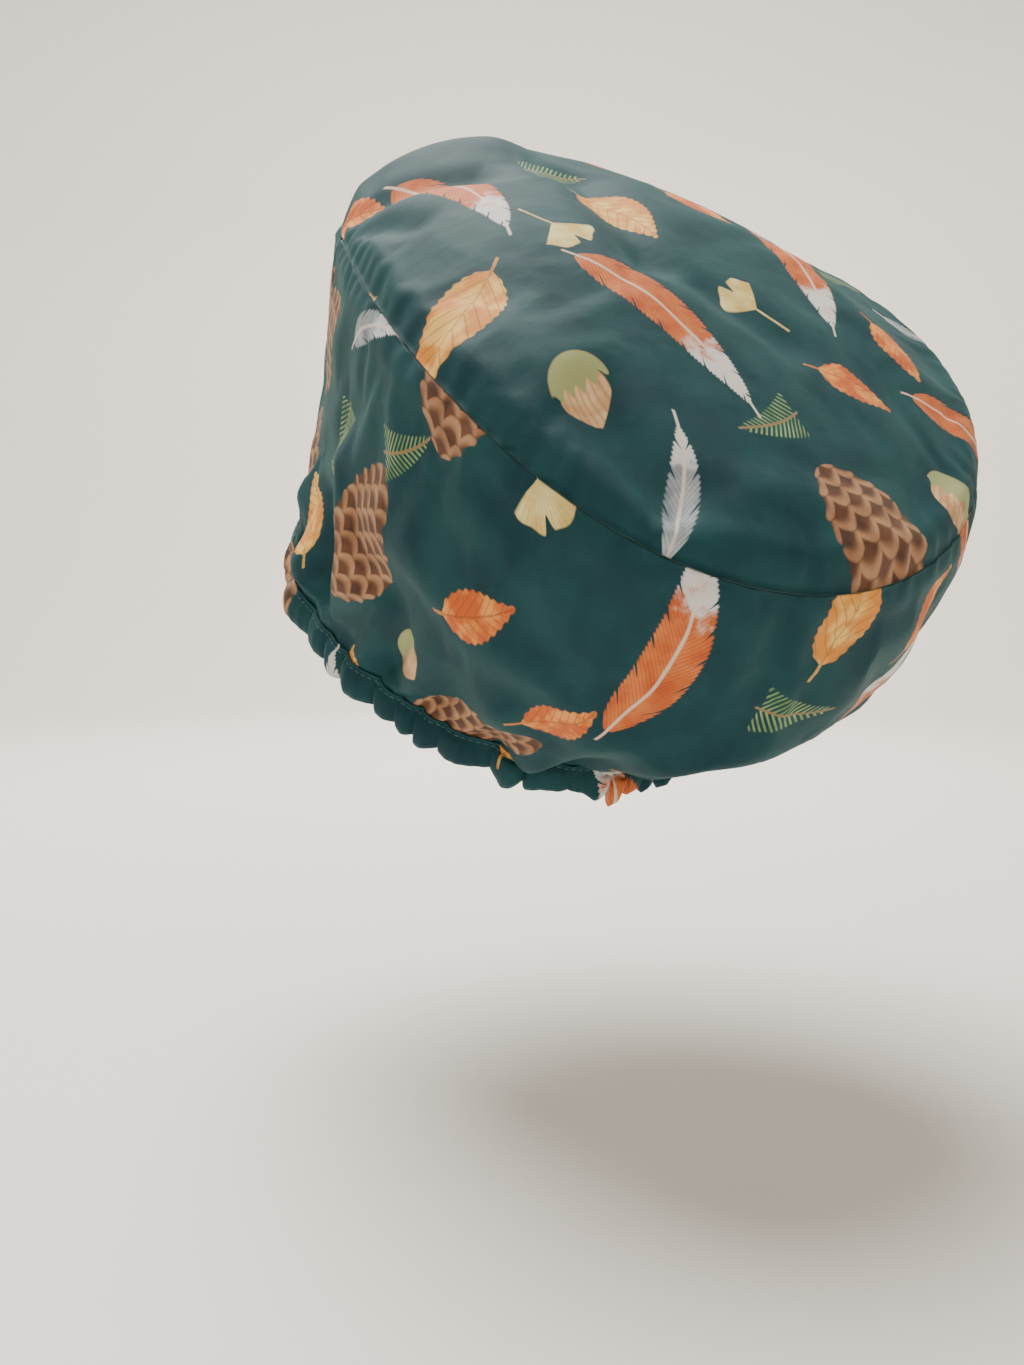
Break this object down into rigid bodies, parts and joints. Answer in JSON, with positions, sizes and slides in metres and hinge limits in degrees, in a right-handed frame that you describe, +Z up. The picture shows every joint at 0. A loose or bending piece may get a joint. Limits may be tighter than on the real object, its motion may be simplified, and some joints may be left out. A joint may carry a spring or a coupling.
{
  "type": "scrub cap",
  "caption": "Gathered cloth scrub cap: an oval crown panel on a deep side band, with an elastic hem casing gathered round the back, in its worn shape.",
  "frame": {"origin": "where the top of the wearer's head lies inside the cap", "axes": "+Z up, forehead towards -Y, +X towards the wearer's left"},
  "size_m": [0.2399, 0.2659, 0.2721],
  "materials": {
    "printed_cloth": "dark green plain weave, softly brushed, with an autumn woodland print",
    "elastic": "off-white woven elastic"
  },
  "bodies": {
    "root": {"crown_panel": "printed_cloth", "front_band": "printed_cloth", "back_band": "printed_cloth", "hem_casing": "printed_cloth", "elastic": "elastic"}
  },
  "joints": []
}
